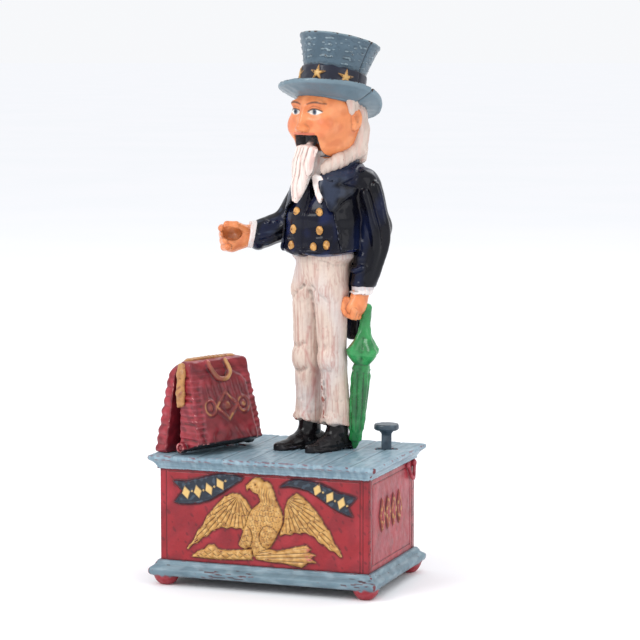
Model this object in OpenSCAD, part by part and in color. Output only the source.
// Mechanical coin bank. A standing figure in a tall hat holds an open hand over a travelling
// bag; both stand on a plank plate that closes a panelled money box. Pressing the plunger knob
// tips the hand, opens the bag and swings the bearded jaw.
// Millimetres. Origin at the bottom centre of the ball feet, +Z up, front panel facing -Y.

/* [Box] */
// Width of the panelled box, end face to end face
box_w = 116.3; // [90:0.1:150]
// Depth of the panelled box, front face to back face
box_d = 76.5; // [60:0.1:100]
// Height of the top surface of the plank plate
plate_top = 70; // [60:0.5:85]
// Thickness of the wall castings
wall = 4; // [3:0.5:6]
// Overhang of the plank plate past the box
plate_over = 5.3; // [3:0.1:8]
// Overhang of the foot moulding past the box
foot_over = 5.6; // [3:0.1:8]
// Radius of the ball feet
foot_r = 6.9; // [5:0.1:9]

/* [Figure] */
// Turn of the figure away from the front panel, degrees
fig_turn = 23; // [0:1:45]
// Figure axis, across the box
fig_x = 18; // [-10:0.5:30]
// Figure axis, along the box depth
fig_y = 13; // [-10:0.5:25]
// Width over the hips
hip_w = 32; // [26:0.5:40]
// Radius of the crown of the hat where it meets the brim
crown_r = 17.6; // [14:0.1:22]
// Radius of the hat brim
brim_r = 28; // [22:0.5:32]
// Backward tilt of the hat, degrees
hat_tilt = 15; // [0:1:25]

/* [Bag] */
// Turn of the bag away from the front panel, degrees
bag_turn = 23.5; // [0:0.5:45]
// Bag origin, across the box
bag_x = -39; // [-45:0.5:-20]
// Bag origin, along the box depth
bag_y = -12; // [-20:0.5:20]
// Height of the bag over the plate
bag_h = 50.5; // [40:0.5:60]

/* [Mechanism] */
// Travel of the plunger knob
knob_travel = 8; // [4:0.5:9]
// Swing of the right arm, degrees
arm_drop = 25; // [10:1:30]
// Swing of the front half of the bag, degrees
bag_open = 17; // [8:1:20]
// Swing of the jaw, degrees
jaw_swing = 10; // [4:1:14]
// Running clearance of a pin in its bore, on the radius
fit_run = 0.05; // [0.02:0.01:0.1]

/* [Output] */
// Which node to show

/* [Hidden] */
hx = box_w / 2;
hy = box_d / 2;
// Height where the walls start and end
wall_z0 = 13.4;
wall_z1 = plate_top - 7.7;
// Underside of the plank plate inside the walls
plate_under = plate_top - 4;
// Box floor
floor_z0 = 5.2;
floor_z1 = 8;
// Tie bolts, near the inner corners
tie_x = hx - 10.5;
tie_y = hy - 10.5;
// Plunger, push rod and rocker pivot
knob_x = 49;
knob_y = 18;
rod_l = [7.5, -4.4];
rod_x = fig_x + cos(fig_turn) * rod_l[0] + sin(fig_turn) * rod_l[1];
rod_y = fig_y - sin(fig_turn) * rod_l[0] + cos(fig_turn) * rod_l[1];
rock_z = plate_top - 23;
rock_l1 = 17.8;
rock_l2 = knob_x - rock_l1 - rod_x;
rock_x = knob_x - rock_l1;
rock_half = asin(knob_travel / 2 / rock_l1);
rod_lift = 2 * rock_l2 * sin(rock_half);
roller_r = 2;
// Bag pivot and its crank
bag_pin_x = 3.5;
bag_pin_z = 3.6;
crank_len = 16;
crank_y = 18;
link_push = crank_len * sin(bag_open) * cos(bag_turn);
link_r = link_push / 2 / sin(rock_half);
// Right shoulder in the figure frame, and the direction of the arm
sh = [-18, 5, 142];
arm_turn = 232.3;
arm_half = arm_drop / 2;
lug_y = 26;
lug_r = rod_lift / 2 / sin(arm_half);
pin_r = 1.5;
// Jaw pivot, cam follower and cam
jaw_y = 2;
jaw_z = 176;
jaw_lug = 13;
cam_y = 6.5;
cam_slope = 31;
// Gap between a roller and the face it lifts
lash = 0.5;
// Plane between the two halves of the figure, and where it ends over the legs
seam_y = 3;
seam_z = 48;
fb = 20;

// Frames
module in_fig() translate([fig_x, fig_y, plate_top]) rotate([0, 0, -fig_turn]) children();
module in_bag() translate([bag_x, bag_y, plate_top]) rotate([0, 0, -bag_turn]) children();
module in_arm() translate(sh) rotate([0, 0, arm_turn]) children();
module in_hat() translate([0, 0.2, 184.6]) rotate([-hat_tilt, 0, 0]) children();

// Rectangular solid that follows rows of [height, overhang past the box]
module rect_loft(rows) {
  n = len(rows);
  pts = [for (r = rows) for (s = [[-1, -1], [1, -1], [1, 1], [-1, 1]])
    [s[0] * (hx + r[1]), s[1] * (hy + r[1]), r[0]]];
  sides = [for (i = [0:n - 2]) for (k = [0:3])
    [i * 4 + k, (i + 1) * 4 + k, (i + 1) * 4 + (k + 1) % 4, i * 4 + (k + 1) % 4]];
  ends = [[0, 1, 2, 3], [for (k = [3:-1:0]) (n - 1) * 4 + k]];
  polyhedron(points = pts, faces = concat(ends, sides));
}

module blob(p, r) translate(p) scale(r) sphere(r = 1, $fn = fb);
module limb(p, r, q, s) {
  hull() {
    blob(p, r);
    blob(q, s);
  }
}
// Bar of round section from p to q
module rod(p, q, r) {
  v = q - p;
  translate(p)
    rotate([0, acos(v[2] / norm(v)), atan2(v[1], v[0])])
      cylinder(r = r, h = norm(v), $fn = 32);
}
// Slotted screw standing on its head at z = 0, thread upwards
module screw(r, len, head_r, head_h) {
  difference() {
    union() {
      translate([0, 0, -head_h]) cylinder(r = head_r, h = head_h, $fn = 48);
      cylinder(r = r, h = len, $fn = 48);
    }
    translate([-head_r, -0.4, -head_h - 1]) cube([2 * head_r, 0.8, 1.9]);
  }
}

// ---------------------------------------------------------------- money box
module base_frame() color([0.47, 0.56, 0.62]) {
  difference() {
    union() {
      rect_loft([[5.2, 3.4], [5.7, 4.6], [6.8, 5.3], [8.2, foot_over], [9.3, 5.2], [10, 4.3],
        [10.6, 3.2], [11.1, 2.7], [12.1, 2.5], [12.6, 1.9], [wall_z0, 1.6]]);
      for (sx = [-1, 1]) for (sy = [-1, 1])
        translate([sx * (hx - 2.2), sy * (hy - 2.2), foot_r - 0.7]) sphere(r = foot_r, $fn = 48);
    }
    translate([0, 0, -20]) cube([300, 300, 40], center = true);
    // Inside above the floor
    translate([-hx + wall, -hy + wall, floor_z1]) cube([2 * hx - 2 * wall, 2 * hy - 2 * wall, 20]);
    // Coin opening, its pivot screw and the tie bolts
    translate([-14, 0, 0]) cylinder(r = 17, h = 30, $fn = 64);
    translate([12, 0, 0]) cylinder(r = 2.02, h = 30, $fn = 48);
    for (sx = [-1, 1]) for (sy = [-1, 1])
      translate([sx * tie_x, sy * tie_y, 0]) cylinder(r = 2, h = 30, $fn = 48);
  }
}

// Wall casting lying in the XZ plane, outer face on y = 0, w wide, rebated at its ends
module wall_slab(w) {
  h = wall_z1 - wall_z0;
  translate([-w / 2, 0, wall_z0]) cube([w, wall, h]);
}
module wall_border(w, m, d) {
  h = wall_z1 - wall_z0;
  // Sunk line round the field
  difference() {
    translate([-w / 2 + m, -1, wall_z0 + m]) cube([w - 2 * m, 1 + d, h - 2 * m]);
    translate([-w / 2 + m + 1.1, -2, wall_z0 + m + 1.1])
      cube([w - 2 * m - 2.2, 4 + d, h - 2 * m - 2.2]);
  }
}

// Flat relief parts drawn in the XZ plane of the front face, growing towards -Y
module relief(t) translate([0, 0.01, 0]) rotate([90, 0, 0]) linear_extrude(height = t) children();
module feather2(l, w) polygon([[0, -w / 2], [l * 0.82, -w / 2], [l, -w * 0.1], [l, w * 0.1],
  [l * 0.82, w / 2], [0, w / 2]]);
// Ribbon with a wavy run and a swallow tail: from x = 0 to x = l, w tall
module ribbon2(l, w, amp) {
  n = 14;
  polygon(concat(
    [for (i = [0:n]) [l * i / n, w / 2 + amp * sin(300 * i / n)]],
    [[l - w * 0.7, amp * sin(300) * 0.8]],
    [for (i = [n:-1:0]) [l * i / n, -w / 2 + amp * sin(300 * i / n)]]));
}
module wing2(side) {
  for (i = [0:7])
    translate([side * (4 + i * 2.6), 8.5 - i * 0.5])
      rotate(side > 0 ? -84 + i * 4.6 : -96 - i * 4.6) feather2(15 + i * 2.6, 3.6);
}
module bird() {
  cz = (wall_z0 + wall_z1) / 2;
  translate([0, -hy, cz]) {
    relief(1.2) {
      wing2(-1);
      wing2(1);
    }
    relief(1.7) for (s = [-1, 1]) for (i = [0:4])
      translate([s * (3 + i * 2.7), 9 - i * 0.4]) rotate(s > 0 ? -80 + i * 6 : -100 - i * 6)
        feather2(9 + i * 1.2, 3.6);
    relief(2.3) {
      polygon([for (a = [0:20:340]) [5.2 * cos(a), -2 + 11 * sin(a)]]);
      translate([-1.5, 11.5]) circle(r = 3.6, $fn = 12);
      polygon([[-4.2, 13.2], [-8.4, 11], [-4, 10]]);
    }
    // Tail and the two sprays
    relief(1.5) for (a = [-110:10:-70]) rotate(a) feather2(18, 3.4);
    for (s = [-1, 1]) relief(1.1) {
      translate([s * 4, -15]) rotate(s > 0 ? 4 : 176) translate([0, -0.7]) square([30, 1.4]);
      for (i = [0:4]) for (u = [-1, 1])
        translate([s * (10 + i * 5.2), -15 + i * 0.4]) rotate((s > 0 ? 0 : 180) + u * 34)
          feather2(6, 2.4);
    }
    // Ribbons, left one higher
    for (s = [-1, 1]) relief(1) translate([s * 9, s > 0 ? 15 : 16]) rotate(s > 0 ? -9 : 185)
      ribbon2(38, 7.5, 1.3);
  }
}
module front_panel() color([0.58, 0.16, 0.2]) {
  difference() {
    translate([0, -hy, 0]) wall_slab(box_w);
    translate([0, -hy, 0]) wall_border(box_w, 3, 0.7);
  }
  bird();
}
module back_panel() color([0.58, 0.16, 0.2]) {
  difference() {
    translate([0, hy, 0]) rotate([0, 0, 180]) wall_slab(box_w);
    translate([0, hy, 0]) rotate([0, 0, 180]) wall_border(box_w, 3, 0.7);
    translate([0, hy, 0]) rotate([0, 0, 180]) wall_border(box_w, 8, 0.7);
  }
  // Plain diamond at the middle of the back
  translate([0, hy, (wall_z0 + wall_z1) / 2]) rotate([0, 0, 180]) relief(1.2) {
    polygon([[-18, 0], [0, -9], [18, 0], [0, 9]]);
    for (s = [-1, 1]) translate([s * 28, 0]) circle(r = 4, $fn = 12);
  }
}
module end_panel() {
  // Outer face on x = hx
  len = box_d - 2 * wall;
  cz = (wall_z0 + wall_z1) / 2;
  difference() {
    translate([hx, 0, 0]) rotate([0, 0, 90]) wall_slab(len);
    translate([hx, 0, 0]) rotate([0, 0, 90]) wall_border(len, 2.4, 0.7);
  }
  translate([hx, 0, cz]) rotate([0, 0, 90]) {
    // Row of four upright lozenges
    relief(1.2) for (i = [-1.5:1:1.5]) translate([i * 9.4 - 3, 3])
      polygon([[-3.8, 0], [0, -8.6], [3.8, 0], [0, 8.6]]);
  }
}
module right_end_panel() color([0.58, 0.16, 0.2]) {
  end_panel();
  // Small eye under the plate, near the back
  translate([hx - 0.5, hy - 10, wall_z1 - 3.6]) rotate([0, 90, 0]) difference() {
    cylinder(r = 3, h = 2.2, $fn = 48);
    translate([0, 0, -1]) cylinder(r = 1.5, h = 5, $fn = 48);
  }
}
module left_end_panel() color([0.58, 0.16, 0.2]) rotate([0, 0, 180]) end_panel();

plank_rows = 9;
module top_plate() color([0.47, 0.56, 0.62]) {
  e = plate_over;
  pw = 2 * (hx + e) / plank_rows;
  difference() {
    rect_loft([[wall_z1, 1.5], [wall_z1 + 1.5, 1.5], [wall_z1 + 1.9, 1.9],
      [wall_z1 + 2.7, 2.3], [wall_z1 + 3.7, 3.1], [wall_z1 + 4.6, 4.3], [wall_z1 + 5.1, 5],
      [wall_z1 + 5.6, e], [plate_top - 0.9, e], [plate_top - 0.3, e - 0.3], [plate_top, e - 0.9]]);
    // Hollow under the plate, inside the walls
    translate([-hx + wall, -hy + wall, wall_z1 - 1])
      cube([box_w - 2 * wall, box_d - 2 * wall, plate_under - wall_z1 + 1]);
    // Joints between the planks, and one butt joint in each row
    for (i = [1:plank_rows - 1])
      translate([-hx - e + i * pw - 0.35, -hy - e - 1, plate_top - 0.6]) cube([0.7, 2 * (hy + e) + 2, 2]);
    for (i = [0:plank_rows - 1])
      translate([-hx - e + i * pw, (i * 37 % 61) - 30, plate_top - 0.6]) cube([pw, 0.6, 2]);
    // Plunger slot, push rod hole, screws up into the shoes
    translate([knob_x, knob_y, plate_under - 1]) {
      rotate([0, 0, 22]) translate([-5.5, -3, 0]) cube([11, 6, 9]);
    }
    translate([rod_x, rod_y, plate_under - 1]) cylinder(r = 2.6, h = 9, $fn = 48);
    translate([fig_x, fig_y, 0]) rotate([0, 0, -fig_turn]) for (p = foot_screw_at)
      translate([p[0], p[1], plate_under - 1]) cylinder(r = 1.5, h = 9, $fn = 48);
    // Coin way under the bag, crank slot, screws up into the rear half of the bag
    translate([bag_x, bag_y, plate_under - 1]) rotate([0, 0, -bag_turn]) {
      translate([-5.5, -14, 0]) cube([5.5, 28, 9]);
      translate([bag_pin_x - 7, crank_y - 2.6, 0]) cube([9.6, 5.2, 9]);
      for (p = bag_screw_at) translate([p[0], p[1], 0]) cylinder(r = 1, h = 9, $fn = 48);
    }
    // Bracket screws, umbrella spike and tie bolts
    for (p = bracket_screw_at) translate([p[0], p[1], plate_under - 1]) cylinder(r = 1.25, h = 3.4, $fn = 48);
    for (sx = [-1, 1]) for (sy = [-1, 1])
      translate([sx * tie_x, sy * tie_y, plate_under - 1]) cylinder(r = 1.75, h = 3.6, $fn = 48);
  }
}
foot_screw_at = [[8.2, 3.8], [-10, -4]];
bag_screw_at = [[-8, -14.6], [-8, 14.6]];
bracket_screw_at = [[rock_x, -3.6], [rock_x, 29.3]];

module tie_bolts() color([0.5, 0.5, 0.52]) {
  for (sx = [-1, 1]) for (sy = [-1, 1]) translate([sx * tie_x, sy * tie_y, floor_z0 - 2.2])
    difference() {
      cylinder(r = 1.75, h = plate_under + 2.4 - floor_z0 + 2.2, $fn = 48);
      translate([-3, -0.3, -1]) cube([6, 0.6, 1.6]);
    }
}
module tie_nuts() color([0.55, 0.5, 0.35]) {
  for (sx = [-1, 1]) for (sy = [-1, 1]) translate([sx * tie_x, sy * tie_y, floor_z0 - 2])
    difference() {
      cylinder(r = 3.6, h = 2, $fn = 6);
      translate([0, 0, -1]) cylinder(r = 1.76, h = 5, $fn = 48);
    }
}
// Flat cover that swings sideways on one screw under the floor
module coin_trap() color([0.35, 0.33, 0.33]) {
  z = floor_z0 - 2;
  difference() {
    union() {
      translate([-14, 0, z]) cylinder(r = 19, h = 1.6, $fn = 64);
      translate([0, -7, z]) cube([12, 14, 1.6]);
      translate([12, 0, z]) cylinder(r = 7, h = 1.6, $fn = 64);
      translate([-28, 0, z - 1.8]) cylinder(r = 2.2, h = 2.6, $fn = 48);
    }
    translate([12, 0, z - 1]) cylinder(r = 2 + fit_run, h = 5, $fn = 48);
  }
}
module trap_screw() color([0.5, 0.5, 0.52])
  translate([12, 0, floor_z0 - 2.2]) screw(2, 6, 4, 1.3);

// ---------------------------------------------------------------- figure
module shoe(a) {
  translate([a[0], a[1], 0]) {
    limb([0.6, 6.5, 3.4], [4.8, 5, 3.6], [-1, -9, 2.8], [5.3, 6.5, 3]);
    limb([-1, -9, 2.8], [5.3, 6.5, 3], [-1.9, -15.6, 2.3], [3.9, 4.4, 2.5]);
    limb([0, 0.5, 8], [5.2, 6, 5], [-0.8, -7, 3.4], [4.8, 5.5, 3.6]);
  }
}
ankle_l = [8, -2];
ankle_r = [-10, -4.5];
module leg(a, hip) {
  knee = [(a[0] + hip[0]) / 2, (a[1] + hip[1]) / 2 - 1, 48];
  hull() {
    translate([a[0], a[1] - 0.5, 12]) scale([1, 1.06, 1]) cylinder(r = 7.8, h = 1, $fn = fb);
    blob([a[0], a[1], 24], [6.7, 7, 4]);
  }
  limb([a[0], a[1], 22], [6.8, 7, 4], knee, [7.3, 7.6, 9]);
  limb(knee, [7.3, 7.6, 9], hip, [8.8, 9.4, 12]);
}
module legs() {
  shoe(ankle_l);
  shoe(ankle_r);
  leg(ankle_l, [7, -6, 84]);
  leg(ankle_r, [-8.6, -6.4, 84]);
  hull() {
    blob([7, -6, 86], [8.8, 10, 10]);
    blob([-8.6, -6.4, 86], [8.8, 10, 10]);
    blob([-0.6, -3, 104], [hip_w / 2 + 3, 15, 6]);
  }
}
module torso() {
  // Waistcoat and coat body, fuller at the hem and leaning back to the shoulders
  hull() {
    blob([0, -4.6, 107], [23, 19.8, 5]);
    blob([0, -3, 124], [22, 19.4, 10]);
  }
  hull() {
    blob([0, -3, 124], [22, 19.4, 10]);
    blob([0, 0.6, 140], [19.6, 17, 10.4]);
  }
  // Shoulders, neck and collar
  limb([-12, 5, 142], [9, 9, 8.4], [17, 6.6, 142], [9.4, 9.4, 8.6]);
  hull() {
    blob([0, 3, 147], [13, 11, 7]);
    blob([0, 2.6, 158], [10.6, 11, 5]);
  }
  // Coat tails
  for (s = [-1, 1]) limb([s * 8, 9, 103], [11, 6.5, 7], [s * 6.4, 10.5, 54], [7.4, 2.8, 5]);
}
module left_arm() {
  limb([19.6, 7.6, 140], [8.6, 8.8, 8.6], [24.2, 10.6, 112], [8.9, 9.2, 9]);
  limb([24.2, 10.6, 112], [8.9, 9.2, 9], [21.8, 3.8, 89], [7, 7.4, 4.2]);
  limb([21.6, 3.2, 85.5], [6.2, 6.4, 2.4], [21.4, 2.8, 83.5], [6.4, 6.6, 2]);
  limb([20.6, 1, 79], [4.8, 5.2, 4.6], [18.6, -1, 74], [4.8, 5.4, 4]);
}
module head() {
  blob([0, -2.6, 175], [18.4, 19.4, 20]);
  limb([0, -8, 168], [13.5, 12.6, 9], [0, 5, 173], [18.8, 14.6, 17]);
  limb([0, -19.5, 178], [2.4, 2.6, 3], [0, -21.4, 172.4], [3, 3, 2.6]);
  for (s = [-1, 1]) blob([s * 18.6, 1, 174], [2.2, 4, 5.4]);
  // Whiskers round the cheeks, meeting the neckcloth
  for (s = [-1, 1]) limb([s * 14, -1, 166], [5, 9, 9], [s * 9, -7.4, 154], [6.4, 8, 5.4]);
}
// Brim edge height over the crown seat: rolled up at the two sides
function roll(a) = 9 * pow(abs(cos(a)), 2.4) - 1.2 * pow(sin(a), 2);
module hat() {
  in_hat() {
    translate([0, 0, -2]) cylinder(r1 = crown_r - 0.2, r2 = crown_r + 1.8, h = 20, $fn = 40);
    translate([0, 0, 17.6]) cylinder(r1 = crown_r + 2.4, r2 = crown_r + 3.9, h = 15.6, $fn = 40);
    step = 360 / 28;
    for (i = [0:27]) hull() for (a = [i * step, (i + 1) * step]) {
      translate([(crown_r - 2) * cos(a), (crown_r - 2) * sin(a), 0]) sphere(r = 1.1, $fn = 6);
      translate([(crown_r + 5) * cos(a), (crown_r + 5) * sin(a), roll(a) * 0.28])
        sphere(r = 1, $fn = 6);
    }
    for (i = [0:27]) hull() for (a = [i * step, (i + 1) * step]) {
      translate([(crown_r + 5) * cos(a), (crown_r + 5) * sin(a), roll(a) * 0.28])
        sphere(r = 1, $fn = 6);
      translate([brim_r * cos(a), brim_r * sin(a), roll(a)]) sphere(r = 0.9, $fn = 6);
    }
  }
}
// Space for the linkage inside the figure
module linkage_space() {
  // Push rod in the left leg, its side bar and its upper stem
  translate([rod_l[0], rod_l[1], -1]) cylinder(r = 2.6, h = 141, $fn = 32);
  hull() for (p = [[rod_l[0], rod_l[1]], [0, cam_y]])
    translate([p[0], p[1], 125]) cylinder(r = 2.6, h = 12, $fn = 24);
  translate([0, cam_y, 125]) cylinder(r = 2.6, h = 36, $fn = 32);
  translate([0, cam_y, 152]) cylinder(r = 4.8, h = 25, $fn = 32);
  // Arm hub, lug and pin
  in_arm() {
    translate([0, -12, 0]) rotate([-90, 0, 0]) cylinder(r = 4.1, h = lug_y + 14.8, $fn = 36);
    translate([0, 0, 0]) rotate([-90, 0, 0]) cylinder(r = pin_r + 0.02, h = lug_y + 5.6, $fn = 32);
    translate([-lug_r - 3, lug_y - 3.1, -6.5]) cube([lug_r + 3, 5.7, 12]);
  }
  // Jaw
  translate([-3.5, -30, 157]) cube([7, 38, 26]);
  translate([-8.2, -30, 160]) cube([16.4, 19.5, 6.4]);
  translate([-7, 0, 0]) translate([0, jaw_y, jaw_z]) rotate([0, 90, 0]) cylinder(r = pin_r + 0.02, h = 14, $fn = 48);
}
module figure_solid() {
  difference() {
    union() {
      legs();
      torso();
      left_arm();
      head();
      hat();
    }
    translate([-60, -60, -20]) cube([120, 120, 20]);
    linkage_space();
    // Recess swept by the right arm
    in_arm() for (a = [0, 8.4, 16.7, arm_drop]) rotate([0, a, 0]) arm_sleeve(0.93);
    // Jaw, neck and chest clearance for the beard
    translate([0, jaw_y, jaw_z]) for (a = [0, jaw_swing]) rotate([-a, 0, 0])
      translate([0, -jaw_y, -jaw_z]) beard(0.7);
    // Screws through the halves and up from the plate, umbrella handle
    for (p = fig_screw_at) translate([p[0], 0, p[1]]) rotate([-90, 0, 0]) {
      translate([0, 0, -9]) cylinder(r = 1.27, h = 60, $fn = 32);
      translate([0, 0, p[2]]) cylinder(r = 2.8, h = 40, $fn = 32);
    }
    for (p = foot_screw_at) translate([p[0], p[1], -1]) cylinder(r = 1.52, h = 6, $fn = 32);
    umbrella_axis() translate([0, 0, 60]) cylinder(r = 1.9, h = 30, $fn = 24);
  }
}
fig_screw_at = [[-7, 96, 10], [11, 116, 10]];
module figure_front() color([0.12, 0.13, 0.2]) in_fig() {
  intersection() {
    figure_solid();
    union() {
      translate([-60, seam_y - 100, -10]) cube([120, 100, 260]);
      translate([-60, -60, -10]) cube([120, 120, 10 + seam_z]);
    }
  }
}
module figure_back() color([0.13, 0.14, 0.21]) in_fig() {
  intersection() {
    figure_solid();
    translate([-60, seam_y, seam_z]) cube([120, 100, 260]);
  }
}
module figure_screws() color([0.5, 0.5, 0.52]) in_fig() {
  for (p = fig_screw_at) translate([p[0], p[2] + 0.02, p[1]]) rotate([90, 0, 0])
    screw(1.25, p[2] + 8, 2.6, 1.6);
}
module foot_screws() color([0.5, 0.5, 0.52]) in_fig() {
  for (p = foot_screw_at) translate([p[0], p[1], -4]) screw(1.5, 8.6, 3, 1.8);
}

// Right sleeve, cuff and hand in the arm frame, grown by g on every side
module arm_sleeve(g) {
  limb([0, 0, 0], [8 + g, 7.6 + g, 8 + g], [12.5, 0, -23], [8 + g, 7.8 + g, 8 + g]);
  limb([12.5, 0, -23], [8 + g, 7.8 + g, 8 + g], [28.5, 0, -28.6], [6 + g, 7.8 + g, 8.4 + g]);
  limb([30, 0, -28], [5.6 + g, 6.8 + g, 7 + g], [32, 0, -28], [4.4 + g, 6.4 + g, 6.6 + g]);
  limb([36, 0, -29], [4 + g, 6 + g, 5.6 + g], [45, 0, -30], [6.4 + g, 8.6 + g, 7.4 + g]);
}
module right_arm() color([0.1, 0.11, 0.18]) in_fig() in_arm() {
  difference() {
    union() {
      arm_sleeve(0);
      // Thumb and the four fingers round the palm
      limb([38, 6.4, -26.4], [2.6, 2.4, 2.6], [45.5, 8, -24], [2, 2, 2.2]);
      for (i = [0:3]) limb([44, -6 + i * 3.6, -33], [3, 2, 2], [50.5 - abs(i - 1.5) * 0.8,
        -5.4 + i * 3.5, -26.8], [1.9, 1.9, 3]);
      // Hub and crank reaching inside the figure
      rotate([-90, 0, 0]) translate([0, 0, 4]) cylinder(r = 3.2, h = lug_y + 2 - 4, $fn = 48);
      rotate([0, -arm_half, 0]) hull() {
        translate([0, lug_y - 2, 0]) rotate([-90, 0, 0]) cylinder(r = 3, h = 4, $fn = 32);
        translate([-lug_r, lug_y - 2, 0]) rotate([-90, 0, 0]) cylinder(r = pin_r, h = 4, $fn = 32);
      }
    }
    // Cupped palm
    blob([43.6, 0.6, -23.4], [7, 6.6, 7.4]);
    // Pin bore
    translate([0, -20, 0]) rotate([-90, 0, 0]) cylinder(r = pin_r + fit_run + 0.01, h = 60, $fn = 48);
  }
}
module arm_pin() color([0.5, 0.5, 0.52]) in_fig() in_arm()
  translate([0, -6, 0]) rotate([-90, 0, 0]) cylinder(r = pin_r, h = lug_y + 11.4, $fn = 48);

// Beard outside the mouth, grown by g
module beard(g) {
  limb([0, -17, 163], [7 + g, 3.4 + g, 2.4 + g], [0, -21, 152], [5.6 + g, 3.6 + g, 6 + g]);
  limb([0, -21, 152], [5.6 + g, 3.6 + g, 6 + g], [0, -24.6, 139], [3.2 + g, 2.4 + g, 6 + g]);
  limb([0, -24.6, 139], [3.2 + g, 2.4 + g, 6 + g], [-1, -25.6, 133], [1.4 + g, 1.2 + g, 1.6 + g]);
}
module jaw_beard() color([0.85, 0.83, 0.78]) in_fig() {
  difference() {
    union() {
      beard(0);
      // Bar from the pivot to the beard, and the cam follower below the pivot
      hull() {
        translate([-2.6, jaw_y, jaw_z]) rotate([0, 90, 0]) cylinder(r = 3.4, h = 5.2, $fn = 32);
        translate([-2.6, -15, 163]) rotate([0, 90, 0]) cylinder(r = 1.8, h = 5.2, $fn = 32);
      }
      hull() {
        translate([-2, jaw_y, jaw_z]) rotate([0, 90, 0]) cylinder(r = 2.6, h = 4, $fn = 32);
        translate([-2, jaw_y + 0.5, jaw_z - jaw_lug]) rotate([0, 90, 0]) cylinder(r = pin_r, h = 4, $fn = 32);
      }
    }
    translate([-10, jaw_y, jaw_z]) rotate([0, 90, 0]) cylinder(r = pin_r + fit_run + 0.01, h = 20, $fn = 48);
  }
}
module jaw_pin() color([0.5, 0.5, 0.52]) in_fig()
  translate([-6.5, jaw_y, jaw_z]) rotate([0, 90, 0]) cylinder(r = pin_r, h = 13, $fn = 48);

// Closed umbrella planted beside the left shoe
umb_foot = [15.8, 3.2, 0];
umb_top = [22.8, 5, 79];
module umbrella_axis() {
  v = umb_top - umb_foot;
  translate(umb_foot) rotate([0, acos(v[2] / norm(v)), atan2(v[1], v[0])]) children();
}
module umbrella() color([0.16, 0.5, 0.27]) in_fig() {
  difference() {
    umbrella_axis() {
      rotate_extrude($fn = 64) polygon([[0, 0.4], [0.9, 0.6], [2, 4], [2.6, 7], [3.9, 9], [4.1, 11],
        [3.3, 13], [3.6, 16], [4.7, 34], [4.8, 45], [4.2, 48.5], [5.4, 51], [6.2, 54], [4.6, 59],
        [2.6, 66], [1.8, 67.5], [1.6, 76], [1.2, 78.4], [0, 79]]);
      // Two loose folds of the cover
      hull() {
        translate([0.5, -7.6, 54]) sphere(r = 1.8, $fn = 16);
        translate([0, 0, 62]) sphere(r = 2.6, $fn = 16);
        translate([0, 0, 50]) sphere(r = 4, $fn = 16);
      }
      hull() {
        translate([2.5, 8.6, 53]) sphere(r = 1.8, $fn = 16);
        translate([0, 0, 63]) sphere(r = 2.6, $fn = 16);
        translate([0, 0, 51]) sphere(r = 4, $fn = 16);
      }
    }
    leg(ankle_l, [7, -6, 84]);
  }
}

// ---------------------------------------------------------------- bag
// One bag half as a tapering block: rows of [height, inner x, outer x, half length, shift along y]
module bag_block(rows, y0) {
  n = len(rows);
  pts = [for (r = rows) for (q = [[r[1], -1], [r[2], -0.9], [r[2], 0.9], [r[1], 1]])
    [q[0], y0 + (len(r) > 4 ? r[4] : 0) + q[1] * r[3], r[0]]];
  sgn = rows[0][2] > rows[0][1];
  sides = [for (i = [0:n - 2]) for (k = [0:3]) for (t = [0, 1]) t == 0
    ? [i * 4 + k, (i + 1) * 4 + k, (i + 1) * 4 + (k + 1) % 4]
    : [i * 4 + k, (i + 1) * 4 + (k + 1) % 4, i * 4 + (k + 1) % 4]];
  ends = [[0, 1, 2, 3], [for (k = [3:-1:0]) (n - 1) * 4 + k]];
  f = concat(ends, sides);
  polyhedron(points = pts, faces = sgn ? f : [for (q = f) [for (k = [len(q) - 1:-1:0]) q[k]]]);
}
module bag_rear() color([0.5, 0.13, 0.17]) in_bag() {
  difference() {
    union() {
      bag_block([[0, -6.2, -14.2, 27], [3, -6.2, -14.6, 27.4], [20, -5.2, -13, 26], [36, -3.8, -10, 24],
        [44, -3.4, -7.6, 22.6]], -1);
      // Mouth frame of the rear half
      bag_block([[42, -3.1, -6.4, 22.8], [46.5, -2.6, -5.6, 22.2]], -1);
    }
    bag_block([[-1, -3, -11.2, 24], [3, -3, -11.4, 24], [20, -3, -10, 23], [36, -2, -7.4, 21.5],
      [48, -2, -5, 20]], -1);
    // Bottom stays closed round the screws
  }
  for (s = [0, 1]) difference() {
    translate([-11.9, s == 0 ? -18.6 : 10.6, 0]) cube([6.2, 8, 6]);
    translate([bag_screw_at[s][0], bag_screw_at[s][1], -1]) cylinder(r = 1, h = 6, $fn = 48);
  }
  // Two lugs that carry the hinge pin
  for (y = [-27.2, 23]) difference() {
    hull() {
      translate([bag_pin_x, y, bag_pin_z]) rotate([-90, 0, 0]) cylinder(r = 2.7, h = 2.2, $fn = 48);
      translate([-8, y, 0]) cube([14, 2.2, 1.2]);
    }
    translate([bag_pin_x, y - 1, bag_pin_z]) rotate([-90, 0, 0]) cylinder(r = 1.2, h = 5, $fn = 48);
  }
}
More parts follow.
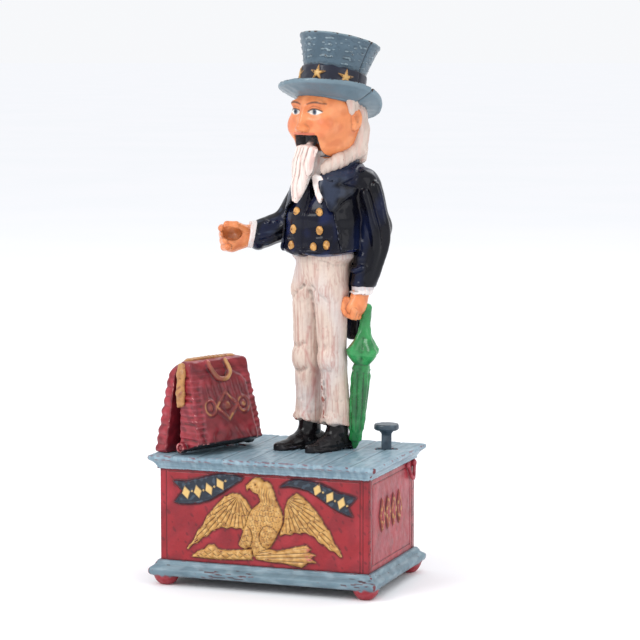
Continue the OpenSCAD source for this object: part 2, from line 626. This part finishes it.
module bag_front() color([0.5, 0.13, 0.17]) in_bag() {
  difference() {
    union() {
      difference() {
        bag_block([[1.1, 1.2, 5, 22.6], [4.8, 1.2, 16, 23.4], [8, 1.2, 15.9, 23.6], [24, 0.2, 12.6, 22.8],
          [40, -1.6, 7.6, 21.6], [48.6, -2.2, 5, 20.6]], -1);
        bag_block([[-1, -1, 3.4, 17], [7, -1, 12.6, 18], [24, -3, 9.4, 18], [40, -4, 4.6, 17.6],
          [52, -5, 2, 17]], -1);
      }
      // Mouth frame and the folded handle
      difference() {
        bag_block([[36, -2.1, 0.2, 22.6], [bag_h, -2.1, 0.6, 21.4]], -1);
        bag_block([[30, -4, 4, 19], [bag_h - 2.4, -4, 4, 18]], -1);
      }
      translate([6.2, -1, bag_h - 4]) {
        rod([0, -7, 0], [3, -5, -13], 1.4);
        rod([0, 7, 0], [3, 5, -13], 1.4);
        rod([3, -5, -13], [3.4, 0, -16], 1.4);
        rod([3, 5, -13], [3.4, 0, -16], 1.4);
        for (p = [[3, -5, -13], [3, 5, -13], [3.4, 0, -16]]) translate(p) sphere(r = 1.8, $fn = 24);
      }
      // Hinge barrel and crank
      translate([bag_pin_x, -24.2, bag_pin_z]) rotate([-90, 0, 0]) cylinder(r = 2.4, h = 46.4, $fn = 48);
      translate([bag_pin_x, crank_y, bag_pin_z - crank_len - 1]) cylinder(r = 1.8, h = crank_len + 1, $fn = 48);
    }
    translate([bag_pin_x, -40, bag_pin_z]) rotate([-90, 0, 0]) cylinder(r = 1.2 + fit_run, h = 80, $fn = 48);
  }
}
module bag_pin() color([0.5, 0.5, 0.52]) in_bag()
  translate([bag_pin_x, -27.2, bag_pin_z]) rotate([-90, 0, 0]) cylinder(r = 1.2, h = 52.4, $fn = 48);
module bag_screws() color([0.5, 0.5, 0.52]) in_bag()
  for (p = bag_screw_at) translate([p[0], p[1], -4]) screw(1, 8.6, 1.8, 1.4);

// ---------------------------------------------------------------- mechanism
spring_z0 = floor_z1 + 0.4;
module plunger() color([0.3, 0.38, 0.45]) translate([knob_x, knob_y, 0]) {
  head_z = plate_top + 13.6;
  col_z = rock_z + knob_travel / 2 + roller_r + lash;
  translate([0, 0, head_z - 1]) cylinder(r = 6.4, h = 1, $fn = 64);
  translate([0, 0, head_z - 2.6]) cylinder(r = 6.7, h = 1.6, $fn = 64);
  translate([0, 0, head_z - 3.6]) cylinder(r1 = 5.8, r2 = 6.7, h = 1, $fn = 64);
  translate([0, 0, head_z - 5.6]) cylinder(r1 = 2.5, r2 = 4.2, h = 2, $fn = 64);
  rotate([0, 0, 22]) translate([-2.7, -2, col_z + 2]) cube([5.4, 4, head_z - 3.6 - col_z - 2]);
  translate([0, 0, col_z]) cylinder(r = 5, h = 2, $fn = 64);
  translate([0, 0, col_z - 18]) cylinder(r = 1.9, h = 18.5, $fn = 48);
  translate([0, 0, col_z - 18]) cylinder(r = 4.6, h = 1.6, $fn = 48);
}
module return_spring() color([0.6, 0.6, 0.62]) translate([knob_x, knob_y, spring_z0]) {
  top = rock_z + knob_travel / 2 + roller_r + lash - 18;
  h = top - spring_z0 - 0.3;
  translate([0, 0, 0.5]) linear_extrude(height = h - 0.5, twist = -360 * 6, slices = 96, convexity = 8)
    translate([3.6, 0]) circle(r = 0.55, $fn = 8);
}
module rocker() color([0.35, 0.33, 0.33]) translate([rock_x, 0, rock_z]) {
  rotate([0, -rock_half, 0]) difference() {
    union() {
      translate([0, 1.4, 0]) rotate([-90, 0, 0]) cylinder(r = 4, h = 23.2, $fn = 48);
      // Fork under the plunger collar
      for (s = [0, 1]) translate([0, s == 0 ? 11.6 : 21, 0]) {
        translate([0, 0, -1.6]) cube([rock_l1, 3.4, 3.2]);
        translate([rock_l1, 0, 0]) rotate([-90, 0, 0]) cylinder(r = roller_r, h = 3.4, $fn = 48);
      }
      translate([0, 11.6, -1.6]) cube([10, 12.8, 3.2]);
      // Nose under the push rod
      translate([-rock_l2, rod_y - 2.7, -1.6]) cube([rock_l2, 5.4, 3.2]);
      translate([-rock_l2, rod_y - 2.7, 0]) rotate([-90, 0, 0]) cylinder(r = roller_r, h = 5.4, $fn = 48);
      // Lug and stud that push the link
      translate([-1.8, 12, -link_r]) cube([3.6, 3, link_r]);
      translate([0, 8, -link_r]) rotate([-90, 0, 0]) cylinder(r = 1.5, h = 7, $fn = 48);
    }
    translate([0, -10, 0]) rotate([-90, 0, 0]) cylinder(r = pin_r + fit_run, h = 60, $fn = 48);
  }
}
module rocker_pin() color([0.5, 0.5, 0.52])
  translate([rock_x, -1, rock_z]) rotate([-90, 0, 0]) cylinder(r = pin_r, h = 28, $fn = 48);
module rocker_bracket() color([0.3, 0.29, 0.3]) {
  difference() {
    union() {
      for (y = [-1, 25]) hull() {
        translate([rock_x, y, rock_z]) rotate([-90, 0, 0]) cylinder(r = 3.6, h = 2, $fn = 48);
        translate([rock_x - 5, y, plate_under - 2]) cube([10, 2, 2]);
      }
      translate([rock_x - 5, -6, plate_under - 2]) cube([10, 7, 2]);
      translate([rock_x - 5, 25, plate_under - 2]) cube([10, 6, 2]);
    }
    translate([rock_x, -10, rock_z]) rotate([-90, 0, 0]) cylinder(r = pin_r, h = 60, $fn = 48);
    for (p = bracket_screw_at) translate([p[0], p[1], plate_under - 3]) cylinder(r = 1.25, h = 5, $fn = 48);
  }
}
module bracket_screws() color([0.5, 0.5, 0.52])
  for (p = bracket_screw_at) translate([p[0], p[1], plate_under - 2]) screw(1.25, 4, 2.2, 1.2);
module push_rod() color([0.45, 0.45, 0.48]) {
  foot_z = rock_z - rod_lift / 2 + roller_r + lash;
  translate([rod_x, rod_y, foot_z]) cylinder(r = 2.4, h = 2, $fn = 48);
  translate([rod_x, rod_y, foot_z]) cylinder(r = 1.6, h = plate_top + sh[2] - rod_lift / 2 - pin_r - 0.7 - foot_z, $fn = 48);
  in_fig() {
    // Side bar and the upper stem with its cam
    hull() for (p = [rod_l, [0, cam_y]]) translate([p[0], p[1], 127]) cylinder(r = 1.6, h = 3, $fn = 32);
    translate([0, cam_y, 127]) cylinder(r = 1.6, h = 36, $fn = 48);
    translate([0, cam_y, 161]) cylinder(r1 = 5 * tan(cam_slope), r2 = 0.4, h = 5, $fn = 48);
  }
}
module bag_link() color([0.45, 0.45, 0.48]) {
  y0 = 9;
  sx = rock_x + link_r * sin(rock_half);
  sz = rock_z - link_r * cos(rock_half);
  // Where the crank stands at rest
  cx = bag_x + cos(bag_turn) * bag_pin_x + sin(bag_turn) * crank_y;
  cy = bag_y - sin(bag_turn) * bag_pin_x + cos(bag_turn) * crank_y;
  tab_z = plate_top + bag_pin_z - crank_len - 0.4;
  difference() {
    union() {
      translate([sx - 4, y0, sz - 5]) cube([8, 2.4, 10]);
      translate([cx - 4, y0, sz - 2]) cube([sx - cx + 4, 2.4, 4]);
      translate([cx + 4, y0, sz - 2]) cube([5, 2.4, tab_z - sz + 4]);
      translate([cx - 5, cy - 6, tab_z]) cube([14, y0 - cy + 8.4, 2]);
    }
    translate([sx - 1.9, y0 - 1, sz - 2.2]) cube([3.8, 5, 4.4]);
    translate([cx - 2.6, cy - 2.5, tab_z - 1]) cube([5.2, 7, 4]);
  }
}

base_frame();
front_panel();
back_panel();
left_end_panel();
right_end_panel();
top_plate();
tie_bolts();
tie_nuts();
coin_trap();
trap_screw();
figure_front();
figure_back();
figure_screws();
foot_screws();
right_arm();
arm_pin();
jaw_beard();
jaw_pin();
umbrella();
bag_rear();
bag_front();
bag_pin();
bag_screws();
plunger();
return_spring();
rocker();
rocker_pin();
rocker_bracket();
bracket_screws();
push_rod();
bag_link();
